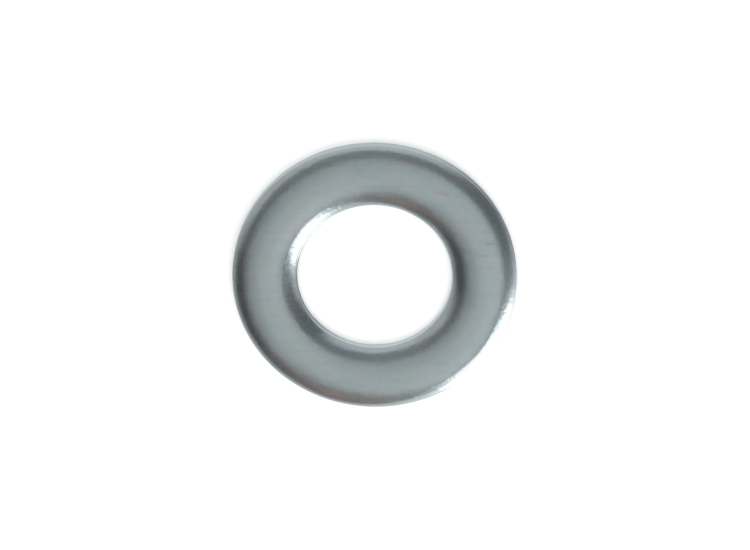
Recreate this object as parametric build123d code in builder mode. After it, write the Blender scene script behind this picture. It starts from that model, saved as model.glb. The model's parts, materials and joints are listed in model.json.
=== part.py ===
from build123d import *
import os
from math import sin, cos, radians

# ---------------------------------------------------------------------------
# Flat washer, M12 light series, stamped from 1.6 mm steel strip, zinc plated.
#
# Frame: +Z is the bore axis.  The origin is on that axis, in the plane of the
# flat seat (the burr side), so the washer stands on Z = 0 with its rounded
# (die-rolled) face upwards.  All dimensions are in millimetres.
#
# The washer is one piece of steel.  A compound die cuts the outside and the
# bore in one stroke, so on both edges the metal is drawn down on the same
# face (the die roll), then sheared clean (the land), and then it breaks away
# (the fracture zone) with a slight taper to the burr side.
# ---------------------------------------------------------------------------

# driving dimensions
outside_diameter = 23.9      # M12 light series: 24 nominal, 23.48 minimum
bore_diameter = 13.0         # M12 clear hole: 13.0 to 13.27
thickness = 1.6              # 1.4 to 1.8

# die roll at the outside edge: four arcs, each tangent to the next.  Two long
# shallow arcs carry the face down slowly, the main roll turns it to 45 degrees
# and a tight corner turns it into the wall.
outer_crown_width = 0.75     # first shallow arc, from the flat ring
outer_crown_angle = 3.2      # slope of the face at the end of it, degrees
outer_shoulder_width = 0.68  # second shallow arc
outer_shoulder_angle = 9.0
outer_roll_radius = 1.80     # main roll, from the shoulder's slope to 45 degrees
outer_corner_radius = 0.09   # last arc, from 45 degrees to the wall

# die roll at the bore, deeper than the outside one
inner_crown_width = 0.83
inner_crown_angle = 4.2
inner_shoulder_width = 0.64
inner_shoulder_angle = 9.7
inner_roll_radius = 2.00
inner_corner_radius = 0.47

# fracture zone and burr-side edge, the same at both walls
fracture_height = 0.42       # from the seat up to the clean sheared land
fracture_taper = 0.05        # radial step over that height
edge_break = 0.08            # burr side, rounded by tumbling

half_turn = 45.0             # slope where main roll and corner arc meet


def roll_width(crown, shoulder, shoulder_angle, main, corner):
    """Radial width of one die roll, from the flat ring to the wall."""
    return (crown + shoulder
            + main * (sin(radians(half_turn)) - sin(radians(shoulder_angle)))
            + corner * (1 - sin(radians(half_turn))))


def arc_radius(width, slope_from, slope_to):
    """Radius of the arc that turns between two slopes over a radial width."""
    return width / (sin(radians(slope_to)) - sin(radians(slope_from)))


outer_radius = outside_diameter / 2
bore_radius = bore_diameter / 2

outer_roll_width = roll_width(outer_crown_width, outer_shoulder_width,
                              outer_shoulder_angle,
                              outer_roll_radius, outer_corner_radius)
inner_roll_width = roll_width(inner_crown_width, inner_shoulder_width,
                              inner_shoulder_angle,
                              inner_roll_radius, inner_corner_radius)

flat_outer = outer_radius - outer_roll_width     # flat ring on the top face
flat_inner = bore_radius + inner_roll_width

foot_outer = outer_radius - fracture_taper       # walls at the burr side
foot_inner = bore_radius + fracture_taper

with BuildPart() as washer:
    # half section in the XZ plane, turned about the bore axis
    with BuildSketch(Plane.XZ) as section:
        with BuildLine() as outline:
            # top face, flat ring
            top = Line((flat_inner, thickness), (flat_outer, thickness))

            # outside edge, from the flat ring down to the wall
            o1 = JernArc(top @ 1, (1, 0),
                         arc_radius(outer_crown_width, 0, outer_crown_angle),
                         -outer_crown_angle)
            o2 = JernArc(o1 @ 1, o1 % 1,
                         arc_radius(outer_shoulder_width, outer_crown_angle,
                                    outer_shoulder_angle),
                         -(outer_shoulder_angle - outer_crown_angle))
            o3 = JernArc(o2 @ 1, o2 % 1, outer_roll_radius,
                         -(half_turn - outer_shoulder_angle))
            o4 = JernArc(o3 @ 1, o3 % 1, outer_corner_radius,
                         -(90 - half_turn))
            o_land = Line(o4 @ 1, (outer_radius, fracture_height))
            o_fracture = Line(o_land @ 1, (foot_outer, edge_break))
            o_foot = ThreePointArc(
                o_fracture @ 1,
                (foot_outer - edge_break * (1 - cos(radians(45))),
                 edge_break * (1 - sin(radians(45)))),
                (foot_outer - edge_break, 0))

            # seat, flat, on the burr side
            seat = Line(o_foot @ 1, (foot_inner + edge_break, 0))

            # bore, from the flat ring down to the wall
            i1 = JernArc(top @ 0, (-1, 0),
                         arc_radius(inner_crown_width, 0, inner_crown_angle),
                         inner_crown_angle)
            i2 = JernArc(i1 @ 1, i1 % 1,
                         arc_radius(inner_shoulder_width, inner_crown_angle,
                                    inner_shoulder_angle),
                         inner_shoulder_angle - inner_crown_angle)
            i3 = JernArc(i2 @ 1, i2 % 1, inner_roll_radius,
                         half_turn - inner_shoulder_angle)
            i4 = JernArc(i3 @ 1, i3 % 1, inner_corner_radius,
                         90 - half_turn)
            i_land = Line(i4 @ 1, (bore_radius, fracture_height))
            i_fracture = Line(i_land @ 1, (foot_inner, edge_break))
            i_foot = ThreePointArc(
                i_fracture @ 1,
                (foot_inner + edge_break * (1 - cos(radians(45))),
                 edge_break * (1 - sin(radians(45)))),
                seat @ 1)
        make_face()
    revolve(axis=Axis.Z)

washer.part.label = "washer"
washer.part.color = Color(0.62, 0.65, 0.66)

os.makedirs("parts", exist_ok=True)
export_step(washer.part, "parts/washer.step")

# ---- summary of the finished piece ----
box = washer.part.bounding_box()
print(f"washer: {box.size.X:.3f} x {box.size.Y:.3f} x {box.size.Z:.3f} mm, "
      f"volume {washer.part.volume:.1f} mm3, valid {washer.part.is_valid}")
print(f"flat ring on the top face: radius {flat_inner:.3f} to {flat_outer:.3f} mm")
print(f"outside land: Z {fracture_height:.3f} to {(o4 @ 1).Y:.3f} mm, "
      f"radius {(o4 @ 1).X:.3f} mm")
print(f"bore land: Z {fracture_height:.3f} to {(i4 @ 1).Y:.3f} mm, "
      f"radius {(i4 @ 1).X:.3f} mm")
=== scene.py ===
import json
import math

import bpy
import numpy as np
from mathutils import Matrix, Vector


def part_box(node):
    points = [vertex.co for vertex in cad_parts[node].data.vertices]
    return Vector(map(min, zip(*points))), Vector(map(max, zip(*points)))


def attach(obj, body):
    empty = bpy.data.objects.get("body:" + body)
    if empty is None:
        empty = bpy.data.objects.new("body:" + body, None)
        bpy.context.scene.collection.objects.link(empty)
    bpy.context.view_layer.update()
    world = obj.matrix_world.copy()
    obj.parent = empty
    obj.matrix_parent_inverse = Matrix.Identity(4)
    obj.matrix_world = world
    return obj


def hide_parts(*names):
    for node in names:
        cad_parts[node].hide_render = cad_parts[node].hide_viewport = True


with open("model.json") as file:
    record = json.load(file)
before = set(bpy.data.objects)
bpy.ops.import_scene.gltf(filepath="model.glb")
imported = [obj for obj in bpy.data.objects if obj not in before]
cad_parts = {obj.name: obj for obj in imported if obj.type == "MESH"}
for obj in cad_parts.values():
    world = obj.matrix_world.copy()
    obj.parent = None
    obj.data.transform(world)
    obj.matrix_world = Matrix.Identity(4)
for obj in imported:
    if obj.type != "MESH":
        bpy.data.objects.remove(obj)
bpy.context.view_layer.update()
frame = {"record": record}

MM = 0.001

# ---------------------------------------------------------------------------
# dimensions, read from the CAD node so that the visual mesh follows it
# ---------------------------------------------------------------------------
lo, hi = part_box("washer")
R_OUT = (hi.x - lo.x + hi.y - lo.y) / 4 / MM        # outside radius, mm
T = (hi.z - lo.z) / MM                              # thickness, mm
Z0 = lo.z / MM                                      # seat plane, mm
bore = next(m for m in frame["record"]["mounts"] if m["name"] == "bore")
R_IN = bore["dims"]["r_mm"]                         # bore radius, mm

# die rolls: two shallow arcs (radial width, slope at their end), the main roll
# up to 45 degrees and a tight corner (as on the CAD node)
OUT_ROLL = dict(shallow=((0.75, 3.2), (0.68, 9.0)), main=1.80, corner=0.09)
IN_ROLL = dict(shallow=((0.83, 4.2), (0.64, 9.7)), main=2.00, corner=0.47)
FRACTURE = 0.42          # height of the torn zone above the seat
TAPER = 0.05             # how far the torn zone steps back at the seat
EDGE = 0.08              # rounded burr edge

N_AZ = 700


# ---------------------------------------------------------------------------
# smooth periodic noise on the circle and smooth 3-D value noise, seeded
# ---------------------------------------------------------------------------
def ring_noise(phi, seed, lows, falloff=1.0):
    """Sum of a few harmonics with fixed random phases, about unit size."""
    rng = np.random.default_rng(seed)
    out = np.zeros_like(phi)
    total = 0.0
    for k in lows:
        a = rng.uniform(0.5, 1.0) / k ** falloff
        out += a * np.sin(k * phi + rng.uniform(0, 2 * math.pi))
        total += a * a / 2
    return out / math.sqrt(total)


def value_noise(p, cell, seed):
    """Smooth noise in -1..1 at points p (n, 3), with features about `cell` across."""
    q = p / cell
    i = np.floor(q).astype(np.int64)
    f = q - i
    f = f * f * f * (f * (f * 6 - 15) + 10)
    out = np.zeros(len(p))
    for dx in (0, 1):
        for dy in (0, 1):
            for dz in (0, 1):
                h = ((i[:, 0] + dx) * 73856093) ^ ((i[:, 1] + dy) * 19349663) \
                    ^ ((i[:, 2] + dz) * 83492791) ^ (seed * 2654435761)
                h = (h ^ (h >> 13)) * 1274126177
                h = (h ^ (h >> 16)) & 0xFFFFFF
                v = h.astype(float) / 0xFFFFFF * 2 - 1
                w = (f[:, 0] if dx else 1 - f[:, 0]) \
                    * (f[:, 1] if dy else 1 - f[:, 1]) \
                    * (f[:, 2] if dz else 1 - f[:, 2])
                out += v * w
    return out


# ---------------------------------------------------------------------------
# the washer's section at every angle: an array of (angle, point along section)
# ---------------------------------------------------------------------------
def roll_path(spec, depth_scale, n_shallow, n_main, n_corner):
    """Distances from the flat ring outwards (x) and down (z) along one die roll.
    depth_scale (per angle) makes the roll a little deeper or shallower."""
    arcs, slope = [], 0.0
    for width, end in spec["shallow"]:
        end = math.radians(end)
        arcs.append((width / (math.sin(end) - math.sin(slope)), slope, end, n_shallow))
        slope = end
    arcs.append((spec["main"], slope, math.pi / 4, n_main))
    arcs.append((spec["corner"], math.pi / 4, math.pi / 2, n_corner))
    x, z = [np.zeros(1)], [np.zeros(1)]
    for radius, a0, a1, n in arcs:
        t = np.linspace(a0, a1, n + 1)[1:]
        x.append(x[-1][-1] + radius * (np.sin(t) - math.sin(a0)))
        z.append(z[-1][-1] + radius * (math.cos(a0) - np.cos(t)))
    x, z = np.concatenate(x)[1:], np.concatenate(z)[1:]
    return x, depth_scale[:, None] * z[None, :]


phi = np.arange(N_AZ) * 2 * math.pi / N_AZ
one = np.ones(N_AZ)

# the strip is harder along its rolling direction, so the roll depth has two
# lobes round the ring, with a little random change on top
k_out = 1 + 0.035 * np.cos(2 * (phi - 0.5)) + 0.018 * ring_noise(phi, 11, range(3, 16), 0.6)
k_in = 1 + 0.030 * np.cos(2 * (phi - 0.7)) + 0.020 * ring_noise(phi, 12, range(3, 16), 0.6)
f_out = FRACTURE + 0.040 * ring_noise(phi, 13, range(2, 90), 0.55)
f_in = FRACTURE + 0.030 * ring_noise(phi, 14, range(2, 70), 0.55)
e_out = EDGE * (1 + 0.25 * ring_noise(phi, 15, range(2, 60), 0.5))
e_in = EDGE * (1 + 0.25 * ring_noise(phi, 16, range(2, 60), 0.5))
e_out = np.clip(e_out, 0.03, 0.14)
e_in = np.clip(e_in, 0.03, 0.14)

xo, zo = roll_path(OUT_ROLL, k_out, 6, 17, 6)
xi, zi = roll_path(IN_ROLL, k_in, 6, 18, 9)
flat_out = R_OUT - xo[-1]
flat_in = R_IN + xi[-1]


def wall(radius, sign, z_top, z_frac, edge):
    """Land, torn zone and rounded foot of one wall, from the roll downwards."""
    rs, zs = [], []
    n_land, n_frac, n_foot = 7, 10, 4
    for j in range(1, n_land + 1):
        s = j / n_land
        rs.append(radius * one)
        zs.append(z_top + (z_frac - z_top) * s)
    for j in range(1, n_frac + 1):
        s = j / n_frac
        step = 0.35 * min(1.0, s * 4) + 0.65 * s      # small lip, then the taper
        rs.append(radius - sign * TAPER * step * one)
        zs.append(z_frac + (edge - z_frac) * s)
    for j in range(1, n_foot + 1):
        a = math.pi / 2 * j / n_foot
        rs.append(radius - sign * (TAPER + edge * (1 - math.cos(a))))
        zs.append(edge * (1 - math.sin(a)))
    return np.array(rs).T, np.array(zs).T


n_flat, n_seat = 5, 18
flat_r = np.linspace(flat_in, flat_out, n_flat)
top_r = np.repeat(flat_r[None, :], N_AZ, 0)
top_z = np.full_like(top_r, T)
out_r = R_OUT - xo[-1] + np.repeat(xo[None, :], N_AZ, 0)
out_z = T - zo
w_or, w_oz = wall(R_OUT, 1, out_z[:, -1], f_out, e_out)
in_r = R_IN + xi[-1] - np.repeat(xi[None, :], N_AZ, 0)
in_z = T - zi
w_ir, w_iz = wall(R_IN, -1, in_z[:, -1], f_in, e_in)
s = np.linspace(0, 1, n_seat + 2)[1:-1]
seat_r = w_or[:, -1:] + (w_ir[:, -1:] - w_or[:, -1:]) * s[None, :]
seat_z = np.zeros_like(seat_r)

# one closed loop: bore wall (upwards), bore roll, flat ring, outside roll,
# outside wall (downwards), seat (inwards)
sec_r = np.concatenate([w_ir[:, ::-1], in_r[:, ::-1], top_r, out_r, w_or, seat_r], 1)
sec_z = np.concatenate([w_iz[:, ::-1], in_z[:, ::-1], top_z, out_z, w_oz, seat_z], 1)
n_wi, n_ri, n_ro, n_wo = w_ir.shape[1], in_r.shape[1], out_r.shape[1], w_or.shape[1]
N_SEC = sec_r.shape[1]
zone = np.concatenate([
    np.full(n_wi, 1), np.full(n_ri, 2), np.full(n_flat, 3),
    np.full(n_ro, 4), np.full(n_wo, 5), np.full(n_seat, 6)])

P = np.stack([sec_r * np.cos(phi)[:, None], sec_r * np.sin(phi)[:, None], sec_z], -1)


def grid_normals(p):
    du = np.roll(p, -1, 1) - np.roll(p, 1, 1)      # along the section
    dv = np.roll(p, -1, 0) - np.roll(p, 1, 0)      # round the ring
    n = np.cross(du, dv)
    return n / np.maximum(np.linalg.norm(n, axis=-1, keepdims=True), 1e-12)


Nrm = grid_normals(P)
if (Nrm[:, n_wi + n_ri + 2, 2].mean()) < 0:
    Nrm = -Nrm

flat = P.reshape(-1, 3)
disp = np.zeros(len(flat))
zz = np.tile(zone, N_AZ)
ang = np.repeat(phi, N_SEC)
height = flat[:, 2]
rad = np.hypot(flat[:, 0], flat[:, 1])
frac_edge = np.where(zz == 5, np.repeat(f_out, N_SEC), np.repeat(f_in, N_SEC))
on_wall = (zz == 1) | (zz == 5)
torn = on_wall * np.clip((frac_edge - height) / 0.05 + 0.3, 0, 1)

# torn zone: steep little ridges, longer up and down than round the ring
wall_pt = np.stack([ang * np.where(zz == 5, R_OUT, R_IN), height * 0.35, 5.0 * (zz == 5)], -1)
tear = 0.55 * value_noise(wall_pt, 0.33, 21) + 0.35 * value_noise(wall_pt, 0.17, 22) \
    + 0.30 * value_noise(flat, 0.45, 23)
disp += torn * 0.011 * tear
# land: very faint vertical draw marks
land = on_wall * (1 - torn)
disp += land * 0.0012 * value_noise(np.stack([wall_pt[:, 0], height * 0.1, wall_pt[:, 2]], -1), 0.22, 24)

# rolled strip is never quite flat: slow waves a micrometre or two high
disp += np.where(zz == 6, 0.0, 0.0022) * value_noise(flat, 3.1, 31)
disp += np.where((zz == 2) | (zz == 4), 0.0016, 0.0006) * value_noise(flat, 0.9, 32)

# tumbling dings: shallow round dents, most of them on the rolled edges
rng = np.random.default_rng(71)
dents = []
for count, kind in ((34, "outer"), (20, "inner"), (22, "face"), (12, "wall")):
    for _ in range(count):
        a = rng.uniform(0, 2 * math.pi)
        if kind == "outer":
            r0 = rng.uniform(R_OUT - 0.75, R_OUT - 0.02)
        elif kind == "inner":
            r0 = rng.uniform(R_IN + 0.05, R_IN + 0.9)
        elif kind == "face":
            r0 = rng.uniform(R_IN + 0.9, R_OUT - 0.8)
        else:
            r0 = R_OUT
        j0 = np.argmin(np.abs(phi - a))
        if kind == "wall":
            cand = np.where(zone == 5)[0]
            j1 = rng.choice(cand)
        else:
            cand = np.where((zone == 2) | (zone == 3) | (zone == 4))[0]
            j1 = cand[np.argmin(np.abs(sec_r[j0, cand] - r0))]
        size = rng.uniform(0.10, 0.30) if kind != "face" else rng.uniform(0.08, 0.20)
        depth = size * rng.uniform(0.015, 0.05) * (0.5 if kind == "face" else 1.0)
        stretch = rng.uniform(0.5, 1.6)
        dents.append((P[j0, j1], size, depth, stretch, rng.uniform(0, math.pi)))
for c, size, depth, stretch, turn in dents:
    d = flat - c
    near = np.where((np.abs(d) < size * 3).all(1))[0]
    if not len(near):
        continue
    q = d[near]
    ca, sa = math.cos(turn), math.sin(turn)
    u = (q[:, 0] * ca + q[:, 1] * sa) * stretch
    v = (-q[:, 0] * sa + q[:, 1] * ca) / stretch
    rho = np.sqrt(u * u + v * v + q[:, 2] ** 2) / size
    disp[near] -= depth * (np.exp(-rho * rho * 1.6) - 0.22 * np.exp(-((rho - 1.25) / 0.35) ** 2))

flat = flat + Nrm.reshape(-1, 3) * disp[:, None]
flat[:, 2] = np.clip(flat[:, 2], 0.0, T + 0.002)
flat[:, 2] += Z0

# ---------------------------------------------------------------------------
# mesh
# ---------------------------------------------------------------------------
idx = np.arange(N_AZ * N_SEC).reshape(N_AZ, N_SEC)
a = idx
b = np.roll(idx, -1, 1)
c = np.roll(np.roll(idx, -1, 1), -1, 0)
d = np.roll(idx, -1, 0)
quads = np.stack([a, d, c, b], -1).reshape(-1, 4)

mesh = bpy.data.meshes.new("washer_surface")
mesh.from_pydata((flat * MM).tolist(), [], quads.tolist())
mesh.validate()
mesh.update()
# make sure that the faces look outwards
pz = [p.normal.z for p in mesh.polygons if p.center.z > (Z0 + T * 0.995) * MM]
if sum(pz) < 0:
    mesh.flip_normals()
mesh.polygons.foreach_set("use_smooth", [True] * len(mesh.polygons))
mesh.update()
washer = bpy.data.objects.new("washer_plated", mesh)
bpy.context.scene.collection.objects.link(washer)


# ---------------------------------------------------------------------------
# node helpers
# ---------------------------------------------------------------------------
class Tree:
    def __init__(self, nt):
        self.nt = nt
        self.nt.nodes.clear()

    def node(self, kind, **props):
        n = self.nt.nodes.new(kind)
        for k, v in props.items():
            setattr(n, k, v)
        return n

    def set(self, socket, value):
        if hasattr(value, "is_output") or isinstance(value, bpy.types.NodeSocket):
            self.nt.links.new(value, socket)
        else:
            socket.default_value = value

    def math(self, op, a, b=None, c=None, clamp=False):
        n = self.node("ShaderNodeMath", operation=op, use_clamp=clamp)
        for i, v in enumerate((a, b, c)):
            if v is not None:
                self.set(n.inputs[i], v)
        return n.outputs[0]

    def vmath(self, op, a, b=None, scale=None):
        n = self.node("ShaderNodeVectorMath", operation=op)
        self.set(n.inputs[0], a)
        if b is not None:
            self.set(n.inputs[1], b)
        if scale is not None:
            self.set(n.inputs[3], scale)
        return n.outputs["Value"] if op in ("DOT_PRODUCT", "LENGTH", "DISTANCE") else n.outputs[0]

    def ramp(self, x, a, b, lo=0.0, hi=1.0, smooth=True):
        n = self.node("ShaderNodeMapRange", clamp=True)
        n.interpolation_type = "SMOOTHSTEP" if smooth else "LINEAR"
        self.set(n.inputs["Value"], x)
        self.set(n.inputs["From Min"], a)
        self.set(n.inputs["From Max"], b)
        self.set(n.inputs["To Min"], lo)
        self.set(n.inputs["To Max"], hi)
        return n.outputs["Result"]

    def mix(self, fac, a, b):
        n = self.node("ShaderNodeMix", data_type="RGBA")
        self.set(n.inputs[0], fac)
        for sock, v in ((n.inputs[6], a), (n.inputs[7], b)):
            self.set(sock, v if isinstance(v, bpy.types.NodeSocket) else tuple(v) + (1,) * (4 - len(v)))
        return n.outputs[2]

    def noise(self, vec, scale, detail=2.0, rough=0.5, distortion=0.0):
        n = self.node("ShaderNodeTexNoise", noise_dimensions="3D")
        self.set(n.inputs["Vector"], vec)
        self.set(n.inputs["Scale"], scale)
        self.set(n.inputs["Detail"], detail)
        self.set(n.inputs["Roughness"], rough)
        self.set(n.inputs["Distortion"], distortion)
        return n.outputs["Fac"]

    def mapping(self, vec, loc=(0, 0, 0), rot=(0, 0, 0), scale=(1, 1, 1)):
        n = self.node("ShaderNodeMapping", vector_type="POINT")
        self.set(n.inputs["Vector"], vec)
        n.inputs["Location"].default_value = loc
        n.inputs["Rotation"].default_value = rot
        n.inputs["Scale"].default_value = scale
        return n.outputs[0]


# ---------------------------------------------------------------------------
# zinc plating
# ---------------------------------------------------------------------------
SMOOTH_GRAIN, HAZY_GRAIN = 0.13, 0.41
ROLLING = math.radians(43)      # direction in which the strip was rolled
# small marks on the top face: x, y, half length, half width (mm), strength, colour
MARKS = (
    (-0.91, 9.84, 0.34, 0.28, 0.34, (0.50, 0.40, 0.33)),
    (-1.55, 9.50, 0.55, 0.30, 0.16, (0.54, 0.44, 0.38)),
    (4.84, 9.07, 0.46, 0.10, 0.42, (0.20, 0.24, 0.26)),
    (5.09, 7.81, 0.50, 0.09, 0.27, (0.26, 0.30, 0.31)),
)


def zinc_material():
    mat = bpy.data.materials.new("zinc_plate")
    mat.use_nodes = True
    t = Tree(mat.node_tree)
    out = t.node("ShaderNodeOutputMaterial")
    bsdf = t.node("ShaderNodeBsdfPrincipled")
    t.nt.links.new(bsdf.outputs[0], out.inputs["Surface"])

    coord = t.node("ShaderNodeTexCoord").outputs["Object"]
    mm = t.vmath("SCALE", coord, scale=1000.0)          # object space in mm
    sep = t.node("ShaderNodeSeparateXYZ")
    t.set(sep.inputs[0], mm)
    x, y, z = sep.outputs
    r = t.math("SQRT", t.math("ADD", t.math("MULTIPLY", x, x), t.math("MULTIPLY", y, y)))

    # where the metal is: torn zone and lands on the walls, rolled edges, faces
    wobble = t.noise(t.mapping(mm, scale=(1, 1, 0.1)), 1.6, 3.0)
    near_wall = t.math("MAXIMUM", t.ramp(r, R_OUT - 0.16, R_OUT - 0.03),
                       t.ramp(r, R_IN + 0.16, R_IN + 0.03))
    frac_line = t.math("ADD", FRACTURE + Z0 - 0.09, t.math("MULTIPLY", wobble, 0.18))
    below = t.ramp(t.math("SUBTRACT", frac_line, z), -0.02, 0.03)
    torn_mask = t.math("MULTIPLY", near_wall, below)
    wall_mask = t.math("MAXIMUM", t.ramp(r, R_OUT - 0.07, R_OUT - 0.02),
                       t.ramp(r, R_IN + 0.10, R_IN + 0.02))

    # base colour: bluish grey zinc, cloudy, with faint straw and blue breaths
    cloud = t.noise(mm, 0.42, 4.0, 0.55, 0.6)
    fine = t.noise(mm, 3.2, 3.0, 0.6)
    hue = t.noise(t.mapping(mm, loc=(13, 7, 3)), 0.27, 3.0, 0.5, 0.8)
    col = t.mix(t.ramp(cloud, 0.3, 0.7), (0.540, 0.632, 0.644), (0.586, 0.666, 0.675))
    tone = t.noise(t.mapping(mm, loc=(-7, 21, 5)), 0.95, 3.0, 0.6, 0.4)
    rolled = t.noise(t.mapping(t.mapping(mm, rot=(0, 0, -ROLLING)), scale=(0.10, 1, 1)), 3.0, 2.0, 0.6)
    col = t.mix(t.ramp(hue, 0.51, 0.72, 0.0, 0.58), col, (0.500, 0.622, 0.676))
    col = t.mix(t.ramp(hue, 0.46, 0.26, 0.0, 0.52), col, (0.606, 0.632, 0.602))
    col = t.mix(t.ramp(tone, 0.51, 0.66, 0.0, 0.60), col, (0.528, 0.662, 0.636))
    col = t.mix(t.ramp(tone, 0.48, 0.33, 0.0, 0.56), col, (0.575, 0.612, 0.652))
    col = t.mix(t.ramp(rolled, 0.49, 0.70, 0.0, 0.33), col, (0.440, 0.520, 0.535))
    col = t.mix(t.ramp(fine, 0.45, 0.75, 0.0, 0.10), col, (0.480, 0.560, 0.572))
    # the bore wall is painted lighter than the faces: a painted reflection of the bright table below it
    bore_wall_painted_reflection = t.ramp(r, R_IN + 0.10, R_IN + 0.02)
    col = t.mix(t.math("MULTIPLY", bore_wall_painted_reflection, 0.9), col, (0.660, 0.735, 0.742))
    # small dark specks where the passivation took unevenly
    vor = t.node("ShaderNodeTexVoronoi", feature="F1")
    t.set(vor.inputs["Vector"], mm)
    vor.inputs["Scale"].default_value = 0.85
    vor.inputs["Randomness"].default_value = 1.0
    speck = t.math("MULTIPLY", t.ramp(vor.outputs["Distance"], 0.075, 0.03),
                   t.ramp(t.noise(mm, 0.7, 1.0), 0.5, 0.62))
    col = t.mix(t.math("MULTIPLY", speck, 0.22), col, (0.36, 0.38, 0.37))
    # one small brown stain and two dark nicks across the rolling direction
    for sx, sy, half_len, half_wid, strength, tint in MARKS:
        ax = t.math("SUBTRACT", x, sx)
        ay = t.math("SUBTRACT", y, sy)
        cr, sr = math.cos(ROLLING), math.sin(ROLLING)
        lu = t.math("ADD", t.math("MULTIPLY", ax, cr / half_len), t.math("MULTIPLY", ay, sr / half_len))
        lv = t.math("ADD", t.math("MULTIPLY", ax, -sr / half_wid), t.math("MULTIPLY", ay, cr / half_wid))
        lr = t.math("SQRT", t.math("ADD", t.math("MULTIPLY", lu, lu), t.math("MULTIPLY", lv, lv)))
        blot = t.math("MULTIPLY", t.ramp(lr, 1.25, 0.25), t.ramp(z, T + Z0 - 0.5, T + Z0 - 0.3))
        col = t.mix(t.math("MULTIPLY", blot, strength), col, tint)
    # torn zone is duller and greyer
    col = t.mix(t.math("MULTIPLY", torn_mask, 0.45), col, (0.480, 0.540, 0.552))

    # roughness: the plating is a fine patchwork of bright and hazy grains, so a
    # reflection has a clear core and a soft glow round it
    micro = t.noise(t.mapping(mm, loc=(31, 5, 11)), 60.0, 0.0, 0.5)
    rough = t.ramp(micro, 0.47, 0.50, SMOOTH_GRAIN, HAZY_GRAIN)
    rough = t.math("ADD", rough, t.ramp(cloud, 0.25, 0.75, -0.012, 0.018))
    rough = t.math("ADD", rough, t.ramp(fine, 0.35, 0.8, -0.008, 0.022))
    rough = t.math("ADD", rough, t.math("MULTIPLY", wall_mask, 0.12))
    rough = t.math("ADD", rough, t.math("MULTIPLY", torn_mask, 0.06))

    # bump heights, in mm: plating grain and the faint waviness of rolled strip
    grain = t.math("MULTIPLY", t.noise(mm, 11.0, 2.0, 0.6), 0.0004)
    waves = t.math("MULTIPLY", t.noise(mm, 1.3, 1.0, 0.4), 0.0011)
    height = t.math("ADD", grain, waves)
    height = t.math("ADD", height, t.math("MULTIPLY", rolled, 0.0022))
    on_roll = t.math("MAXIMUM", t.ramp(r, R_OUT - 1.7, R_OUT - 1.0), t.ramp(r, R_IN + 1.9, R_IN + 1.1))
    uneven = t.noise(t.mapping(mm, loc=(4, 17, 9)), 2.4, 3.0, 0.62)
    height = t.math("ADD", height, t.math("MULTIPLY", t.math("MULTIPLY", uneven, on_roll), 0.0200))
    # handling scratches: at most one short straight line per cell, each with its
    # own direction
    for density, length, width, depth, keep, shift in (
            (0.42, 0.75, 0.022, 0.0005, 0.42, 3.0), (0.75, 0.40, 0.018, 0.0005, 0.38, 19.0),
            (1.30, 0.13, 0.026, 0.0007, 0.30, 37.0)):
        place = t.mapping(mm, loc=(shift, -shift * 0.6, shift * 0.3))
        cell = t.node("ShaderNodeTexVoronoi", feature="F1")
        t.set(cell.inputs["Vector"], place)
        cell.inputs["Scale"].default_value = density
        away = t.vmath("SUBTRACT", place, cell.outputs["Position"])
        csep = t.node("ShaderNodeSeparateXYZ")
        t.set(csep.inputs[0], cell.outputs["Color"])
        turned = t.node("ShaderNodeVectorRotate", rotation_type="Z_AXIS")
        t.set(turned.inputs["Vector"], away)
        t.set(turned.inputs["Angle"], t.math("MULTIPLY", csep.outputs[0], 6.2832))
        tsep = t.node("ShaderNodeSeparateXYZ")
        t.set(tsep.inputs[0], turned.outputs[0])
        bow = t.math("MULTIPLY", t.math("MULTIPLY", tsep.outputs[0], tsep.outputs[0]),
                     t.math("SUBTRACT", csep.outputs[2], 0.5))
        across = t.math("ABSOLUTE", t.math("SUBTRACT", tsep.outputs[1], bow))
        line = t.ramp(across, width, 0.0)
        ends = t.ramp(t.math("ABSOLUTE", tsep.outputs[0]), length, length * 0.4)
        have = t.math("LESS_THAN", csep.outputs[1], keep)
        scr = t.math("MULTIPLY", t.math("MULTIPLY", line, ends), have)
        height = t.math("SUBTRACT", height, t.math("MULTIPLY", scr, depth))
    # torn zone: rough vertical tears
    wall_co = t.node("ShaderNodeCombineXYZ")
    t.set(wall_co.inputs[0], t.math("MULTIPLY", t.math("ARCTAN2", y, x), 12.0))
    t.set(wall_co.inputs[1], t.math("MULTIPLY", z, 0.4))
    t.set(wall_co.inputs[2], r)
    tears = t.noise(wall_co.outputs[0], 7.0, 3.0, 0.6)
    height = t.math("ADD", height, t.math("MULTIPLY", t.math("MULTIPLY", tears, torn_mask), 0.012))
    bump = t.node("ShaderNodeBump")
    bump.inputs["Strength"].default_value = 1.0
    bump.inputs["Distance"].default_value = MM
    t.set(bump.inputs["Height"], height)

    t.set(bsdf.inputs["Base Color"], col)
    t.set(bsdf.inputs["Roughness"], rough)
    t.set(bsdf.inputs["Normal"], bump.outputs[0])
    bsdf.inputs["Metallic"].default_value = 1.0
    return mat


washer.data.materials.append(zinc_material())

# ---------------------------------------------------------------------------
# camera: near side of the washer at the top of the picture, 66 degrees above
# the face, long lens
# ---------------------------------------------------------------------------
CAM_AZ = 220.0           # frame azimuth of the camera
CAM_EL = 66.4            # height above the face
NEAR_DIR = 87.1          # where the near side points in the picture, from +x, anticlockwise
PX_PER_MM = 11.913
CENTRE_PX = (374.2, 280.55)    # picture position of the top face's centre
LENS = 335.0

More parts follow.
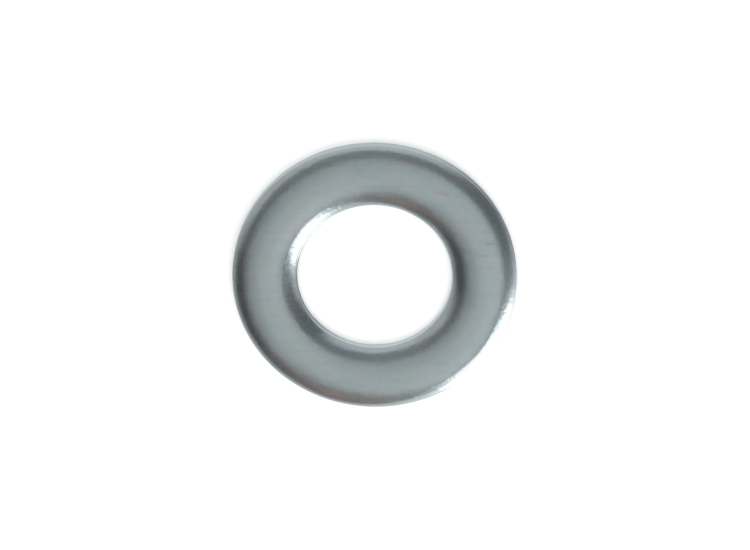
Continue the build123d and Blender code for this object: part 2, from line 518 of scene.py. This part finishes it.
azr, elr = math.radians(CAM_AZ), math.radians(CAM_EL)
back = Vector((math.sin(azr) * math.cos(elr), -math.cos(azr) * math.cos(elr), math.sin(elr)))
near = Vector((math.sin(azr), -math.cos(azr), 0))
pn = (near - back * near.dot(back)).normalized()
qn = back.cross(pn)
al = math.radians(NEAR_DIR)
right = pn * math.cos(al) - qn * math.sin(al)
up = pn * math.sin(al) + qn * math.cos(al)
dist = LENS / 36.0 * (750 / PX_PER_MM) * MM
aim = Vector((0, 0, hi.z)) - (right * (CENTRE_PX[0] - 375.0) - up * (CENTRE_PX[1] - 275.0)) * (MM / PX_PER_MM)
cam_data = bpy.data.cameras.new("camera")
cam_data.lens = LENS
cam_data.sensor_width = 36.0
cam_data.clip_start = 0.01
cam_data.clip_end = 5.0
cam = bpy.data.objects.new("camera", cam_data)
bpy.context.scene.collection.objects.link(cam)
cam.matrix_world = Matrix((
    (right.x, up.x, back.x, aim.x + back.x * dist),
    (right.y, up.y, back.y, aim.y + back.y * dist),
    (right.z, up.z, back.z, aim.z + back.z * dist),
    (0, 0, 0, 1)))
bpy.context.scene.camera = cam

# ---------------------------------------------------------------------------
# floor
# ---------------------------------------------------------------------------
fm = bpy.data.meshes.new("floor")
S = 3.0
fm.from_pydata([(-S, -S, 0), (S, -S, 0), (S, S, 0), (-S, S, 0)], [], [(0, 1, 2, 3)])
fm.update()
floor = bpy.data.objects.new("floor", fm)
floor.location.z = lo.z - 2e-6
bpy.context.scene.collection.objects.link(floor)
fmat = bpy.data.materials.new("floor")
fmat.use_nodes = True
ft = Tree(fmat.node_tree)
fo = ft.node("ShaderNodeOutputMaterial")
fb = ft.node("ShaderNodeBsdfPrincipled")
ft.nt.links.new(fb.outputs[0], fo.inputs["Surface"])
fb.inputs["Base Color"].default_value = (0.90, 0.90, 0.90, 1)
fb.inputs["Roughness"].default_value = 0.9
fb.inputs["Specular IOR Level"].default_value = 0.0
fb.inputs["Emission Color"].default_value = (1, 1, 1, 1)
fb.inputs["Emission Strength"].default_value = 0.15
fm.materials.append(fmat)
# the metal mirrors the table of the room below and not the bright floor sheet
floor.visible_glossy = False

# ---------------------------------------------------------------------------
# room: soft studio world, built from a plain base and a few soft patches
# ---------------------------------------------------------------------------
# azimuths are given in the picture (anticlockwise from +x), so the room turns
# with CAM_AZ and stays where it is for every other view
TO_FRAME = CAM_AZ - 90 - NEAR_DIR


def direction(az, el):
    a, e = math.radians(az + TO_FRAME), math.radians(el)
    return Vector((math.cos(a) * math.cos(e), math.sin(a) * math.cos(e), math.sin(e)))


ZENITH = (0.215, 0.218, 0.228)
HORIZON = (0.584, 0.562, 0.554)
BASE_EL = (39, 50.5)
TABLE = (0.860, 0.862, 0.862)
TABLE_EL = (6, -30)
PATCHES = [
    # az, el, half width, half height, softness, colour
    (278, 36.5, 12.8, 35.6, 0.94, (1.13, 1.15, 1.15)),     # lit strip of ceiling
    (90.7, 25.8, 43, 16.4, 0.34, (0.695, 0.690, 0.712)),   # pale wall behind the camera
    (-22.4, 26.6, 54, 41, 0.14, (0.114, 0.117, 0.125)),    # dim wall on the right
    (330, -4, 33, 21, 0.70, (0.85, 0.785, 0.805)),         # sill under the window
    (221.7, 33, 30.3, 26.6, 0.50, (0.060, 0.056, 0.057)),  # dark gap on the left
    (259.5, 29, 19.2, 29, 0.16, (0.172, 0.152, 0.154)),    # warm wall
    (258.8, 31, 4.6, 19, 0.50, (0.470, 0.228, 0.170)),    # brown cupboard
    (340, -48, 28, 32, 0.30, (0.265, 0.265, 0.275)),       # shaded side of the table
    (298, 36.8, 10.5, 12.5, 0.08, (2.05, 2.04, 2.15)),     # window, upper part
    (306.5, 5, 20.3, 31, 0.18, (2.60, 2.56, 2.62)),       # window, lower part
]

world = bpy.data.worlds.new("room")
bpy.context.scene.world = world
world.use_nodes = True
w = Tree(world.node_tree)
wo = w.node("ShaderNodeOutputWorld")
dirv = w.node("ShaderNodeTexCoord").outputs["Generated"]
wsep = w.node("ShaderNodeSeparateXYZ")
w.set(wsep.inputs[0], dirv)
elev = wsep.outputs[2]
env = w.mix(w.ramp(elev, *(math.sin(math.radians(e)) for e in BASE_EL)), HORIZON, ZENITH)
env = w.mix(w.ramp(elev, *(math.sin(math.radians(e)) for e in TABLE_EL)), env, TABLE)
for az, el, aw, ah, soft, colour in PATCHES:
    dd = direction(az, el)
    t1 = Vector((0, 0, 1)).cross(dd).normalized()
    t2 = dd.cross(t1)
    u = w.math("DIVIDE", w.vmath("DOT_PRODUCT", dirv, tuple(t1)), math.sin(math.radians(aw)))
    v = w.math("DIVIDE", w.vmath("DOT_PRODUCT", dirv, tuple(t2)), math.sin(math.radians(ah)))
    rho = w.math("SQRT", w.math("ADD", w.math("MULTIPLY", u, u), w.math("MULTIPLY", v, v)))
    fac = w.ramp(rho, 1 + soft, 1 - soft)
    fac = w.math("MULTIPLY", fac, w.ramp(w.vmath("DOT_PRODUCT", dirv, tuple(dd)), 0.0, 0.1))
    env = w.mix(fac, env, colour)
bg_room = w.node("ShaderNodeBackground")
w.set(bg_room.inputs[0], env)
bg_seen = w.node("ShaderNodeBackground")
bg_seen.inputs[0].default_value = (1.0, 1.0, 1.0, 1)
lp = w.node("ShaderNodeLightPath")
mixsh = w.node("ShaderNodeMixShader")
w.set(mixsh.inputs[0], lp.outputs["Is Camera Ray"])
w.nt.links.new(bg_room.outputs[0], mixsh.inputs[1])
w.nt.links.new(bg_seen.outputs[0], mixsh.inputs[2])
w.nt.links.new(mixsh.outputs[0], wo.inputs["Surface"])

# a very wide soft overhead light, the same everywhere on the floor; the metal
# mirrors the room and not this light
sun_data = bpy.data.lights.new("overhead", "SUN")
sun_data.energy = 2.6
sun_data.angle = math.radians(130)
sun = bpy.data.objects.new("overhead", sun_data)
bpy.context.scene.collection.objects.link(sun)
sun.rotation_mode = "QUATERNION"
sun.rotation_quaternion = Vector((0.0, -0.02, 1.0)).to_track_quat("Z", "Y")
sun.visible_camera = False
sun.visible_glossy = False

bpy.context.scene.view_settings.view_transform = "Standard"
bpy.context.scene.view_settings.look = "None"

# ---------------------------------------------------------------------------
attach(washer, "root")
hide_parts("washer")
